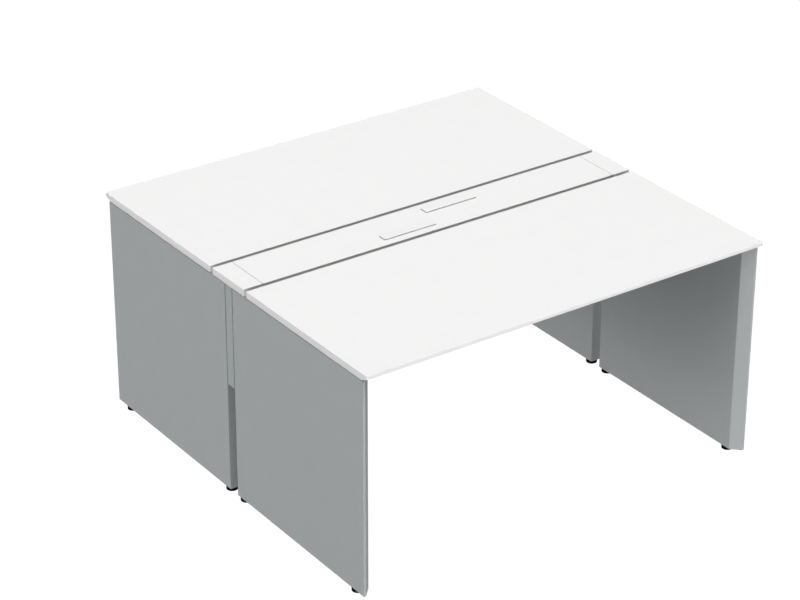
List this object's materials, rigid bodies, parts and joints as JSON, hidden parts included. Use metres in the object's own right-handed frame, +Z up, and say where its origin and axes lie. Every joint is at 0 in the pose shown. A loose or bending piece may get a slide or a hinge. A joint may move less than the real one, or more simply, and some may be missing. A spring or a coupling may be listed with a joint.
{
  "type": "benching desk for two",
  "caption": "Face-to-face benching desk with bevel-edged white worktops, grey panel legs, a lift-off lid over the central cable space, cable gaps and levelling feet.",
  "frame": {"origin": "on the floor, under the middle of the desk", "axes": "+X along the users' edges, to the right as the front user sees it; +Y from the front user to the rear user; +Z up"},
  "size_m": [1.4, 1.39, 0.7267],
  "materials": {
    "white_board": "white melamine-faced board, fine matt grain",
    "grey_board": "grey melamine-faced board, fine matt grain",
    "white_plastic": "white moulded plastic, satin",
    "black_plastic": "black moulded plastic, matt",
    "grey_nylon": "dark grey nylon",
    "grey_steel": "grey powder coat",
    "bright_steel": "bright zinc plate",
    "beech": "plain beech"
  },
  "bodies": {
    "desk": {"front_worktop": "white_board", "rear_worktop": "white_board", "left_strip_end": "white_board", "right_strip_end": "white_board", "front_left_leg": "grey_board", "front_right_leg": "grey_board", "rear_left_leg": "grey_board", "rear_right_leg": "grey_board", "centre_stretcher": "grey_board", "left_bearer": "grey_steel", "right_bearer": "grey_steel", "front_cable_tray": "grey_steel", "rear_cable_tray": "grey_steel", "left_tray_bolt": "bright_steel", "right_tray_bolt": "bright_steel", "left_upper_tie_bolt": "bright_steel", "left_lower_tie_bolt": "bright_steel", "right_upper_tie_bolt": "bright_steel", "right_lower_tie_bolt": "bright_steel", "front_left_upper_barrel_nut": "bright_steel", "front_left_lower_barrel_nut": "bright_steel", "front_right_upper_barrel_nut": "bright_steel", "front_right_lower_barrel_nut": "bright_steel", "rear_left_upper_barrel_nut": "bright_steel", "rear_left_lower_barrel_nut": "bright_steel", "rear_right_upper_barrel_nut": "bright_steel", "rear_right_lower_barrel_nut": "bright_steel", "front_left_inner_bracket": "grey_steel", "front_left_outer_bracket": "grey_steel", "front_right_inner_bracket": "grey_steel", "front_right_outer_bracket": "grey_steel", "rear_left_inner_bracket": "grey_steel", "rear_left_outer_bracket": "grey_steel", "rear_right_inner_bracket": "grey_steel", "rear_right_outer_bracket": "grey_steel", "front_left_strip_dowel": "beech", "front_right_strip_dowel": "beech", "rear_left_strip_dowel": "beech", "rear_right_strip_dowel": "beech", "front_left_inner_foot_insert": "grey_nylon", "front_left_outer_foot_insert": "grey_nylon", "front_right_inner_foot_insert": "grey_nylon", "front_right_outer_foot_insert": "grey_nylon", "rear_left_inner_foot_insert": "grey_nylon", "rear_left_outer_foot_insert": "grey_nylon", "rear_right_inner_foot_insert": "grey_nylon", "rear_right_outer_foot_insert": "grey_nylon"},
    "lid": {"strip_lid": "white_board", "front_pull": "white_plastic", "rear_pull": "white_plastic", "front_lid_batten": "beech", "rear_lid_batten": "beech"},
    "front_left_inner_foot": {"front_left_inner_foot": "black_plastic"},
    "front_left_outer_foot": {"front_left_outer_foot": "black_plastic"},
    "front_right_inner_foot": {"front_right_inner_foot": "black_plastic"},
    "front_right_outer_foot": {"front_right_outer_foot": "black_plastic"},
    "rear_left_inner_foot": {"rear_left_inner_foot": "black_plastic"},
    "rear_left_outer_foot": {"rear_left_outer_foot": "black_plastic"},
    "rear_right_inner_foot": {"rear_right_inner_foot": "black_plastic"},
    "rear_right_outer_foot": {"rear_right_outer_foot": "black_plastic"}
  },
  "joints": [
    {"name": "lid_lift", "type": "slide", "parent": "desk", "child": "lid", "axis": [0, 0, 1], "range_m": [0, 0.1]},
    {"name": "front_left_inner_foot_level", "type": "slide", "parent": "desk", "child": "front_left_inner_foot", "axis": [0, 0, -1], "range_m": [0, 0.015]},
    {"name": "front_left_outer_foot_level", "type": "slide", "parent": "desk", "child": "front_left_outer_foot", "axis": [0, 0, -1], "range_m": [0, 0.015]},
    {"name": "front_right_inner_foot_level", "type": "slide", "parent": "desk", "child": "front_right_inner_foot", "axis": [0, 0, -1], "range_m": [0, 0.015]},
    {"name": "front_right_outer_foot_level", "type": "slide", "parent": "desk", "child": "front_right_outer_foot", "axis": [0, 0, -1], "range_m": [0, 0.015]},
    {"name": "rear_left_inner_foot_level", "type": "slide", "parent": "desk", "child": "rear_left_inner_foot", "axis": [0, 0, -1], "range_m": [0, 0.015]},
    {"name": "rear_left_outer_foot_level", "type": "slide", "parent": "desk", "child": "rear_left_outer_foot", "axis": [0, 0, -1], "range_m": [0, 0.015]},
    {"name": "rear_right_inner_foot_level", "type": "slide", "parent": "desk", "child": "rear_right_inner_foot", "axis": [0, 0, -1], "range_m": [0, 0.015]},
    {"name": "rear_right_outer_foot_level", "type": "slide", "parent": "desk", "child": "rear_right_outer_foot", "axis": [0, 0, -1], "range_m": [0, 0.015]}
  ]
}
